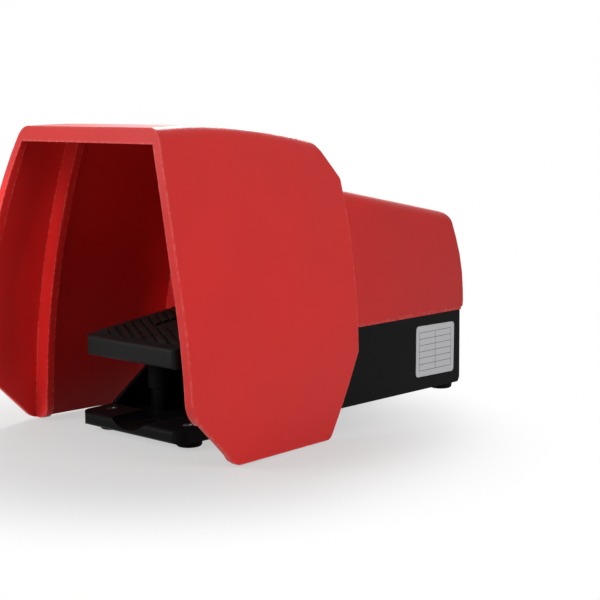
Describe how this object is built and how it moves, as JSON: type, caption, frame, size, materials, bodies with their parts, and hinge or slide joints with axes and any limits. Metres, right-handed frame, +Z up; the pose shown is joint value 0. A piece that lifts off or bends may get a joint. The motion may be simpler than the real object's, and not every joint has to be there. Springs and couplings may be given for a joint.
{
  "type": "industrial foot switch",
  "caption": "Single-pedal industrial foot switch under a protective hood, with a sealed contact chamber and a cable gland behind the pedal.",
  "frame": {"origin": "on the floor, at the middle of the overall box", "axes": "+Z up, +Y to the rear where the cable leaves, +X to the right of an operator who faces the switch"},
  "size_m": [0.1924, 0.3164, 0.1851],
  "materials": {
    "red_housing": "fine moulded grain, satin",
    "black_housing": "fine moulded grain, satin",
    "pedal_black": "moulded, slightly worn tread",
    "black_rubber": "matt",
    "zinc_steel": "zinc plated",
    "bright_steel": "ground",
    "spring_steel": "drawn wire",
    "brass": "turned",
    "bush_plastic": "natural acetal",
    "contact_plastic": "glass-filled moulding",
    "gland_plastic": "moulded polyamide",
    "label_foil": "bare silver foil"
  },
  "bodies": {
    "housing": {"base_housing": "black_housing", "rear_cover": "red_housing", "cover_gasket": "black_rubber", "cover_screws": "zinc_steel", "protective_hood": "red_housing", "hood_screws": "zinc_steel", "hood_inserts": "brass", "pivot_shaft": "bright_steel", "shaft_clips": "spring_steel", "bearing_caps": "black_housing", "bearing_cap_screws": "zinc_steel", "return_springs": "spring_steel", "pedal_buffers": "black_rubber", "rest_stop": "black_rubber", "contact_bracket": "zinc_steel", "bracket_screws": "zinc_steel", "contact_block_left": "contact_plastic", "contact_block_right": "contact_plastic", "contact_block_screws": "zinc_steel", "plunger_seals": "black_rubber", "terminal_screws": "zinc_steel", "earth_terminal": "brass", "gland_body": "gland_plastic", "gland_seal": "black_rubber", "gland_nut": "gland_plastic", "gland_locknut": "gland_plastic", "rubber_feet": "black_rubber", "foot_screws": "zinc_steel", "rating_label": "label_foil"},
    "pedal_lever": {"pedal": "pedal_black", "pivot_bushes": "bush_plastic", "striker_plate": "zinc_steel", "striker_screws": "zinc_steel"},
    "plunger_left_slide": {"plunger_left": "bush_plastic"},
    "plunger_right_slide": {"plunger_right": "bush_plastic"}
  },
  "joints": [
    {"name": "pedal_hinge", "type": "hinge", "parent": "housing", "child": "pedal_lever", "pos_m": [0, 0.008, 0.048], "axis": [1, 0, 0], "range_deg": [0, 8], "stiffness_Nm_per_rad": 18, "springref_deg": -6.88, "deforming": ["return_springs"]},
    {"name": "plunger_left_travel", "type": "slide", "parent": "housing", "child": "plunger_left_slide", "axis": [0, 1, 0], "range_m": [0, 0.00366]},
    {"name": "plunger_right_travel", "type": "slide", "parent": "housing", "child": "plunger_right_slide", "axis": [0, 1, 0], "range_m": [0, 0.00366]}
  ],
  "couplings": [
    {"joint": "plunger_left_travel", "follows": "pedal_hinge", "m_per_rad": 0.02614},
    {"joint": "plunger_right_travel", "follows": "pedal_hinge", "m_per_rad": 0.02614}
  ]
}
